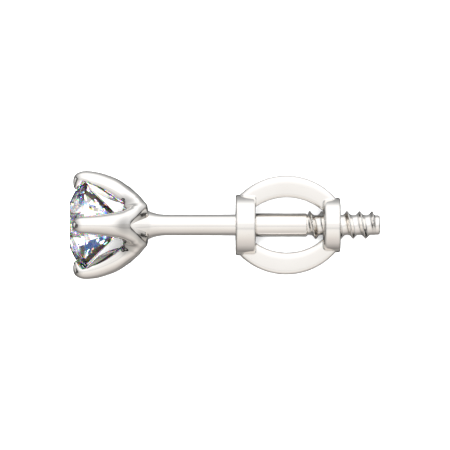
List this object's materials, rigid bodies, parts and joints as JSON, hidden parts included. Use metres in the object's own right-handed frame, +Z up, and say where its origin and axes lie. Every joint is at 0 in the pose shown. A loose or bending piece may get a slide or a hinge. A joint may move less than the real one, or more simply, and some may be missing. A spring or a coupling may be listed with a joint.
{
  "type": "screw-back stud earring",
  "caption": "Stud earring with a round brilliant stone in a split-claw basket, a threaded post and a screw back with an eye-shaped ring.",
  "frame": {"origin": "under the middle of the earring's box, on the surface that it lies on", "axes": "+X along the post from the stone to the tip, which dips 4.8 degrees below level, and +Z up from the surface; the flat ring leans 29 degrees from level"},
  "size_m": [0.015, 0.0046, 0.0047],
  "materials": {
    "setting_metal": "polished",
    "stone": "gloss",
    "back_metal": "polished"
  },
  "bodies": {
    "stud": {"setting": "setting_metal", "stone": "stone"},
    "back": {"screw_back": "back_metal"}
  },
  "joints": [
    {"name": "back_travel", "type": "slide", "parent": "stud", "child": "back", "axis": [0.9965, 0, -0.084], "range_m": [-0.00078, 0.007]}
  ]
}
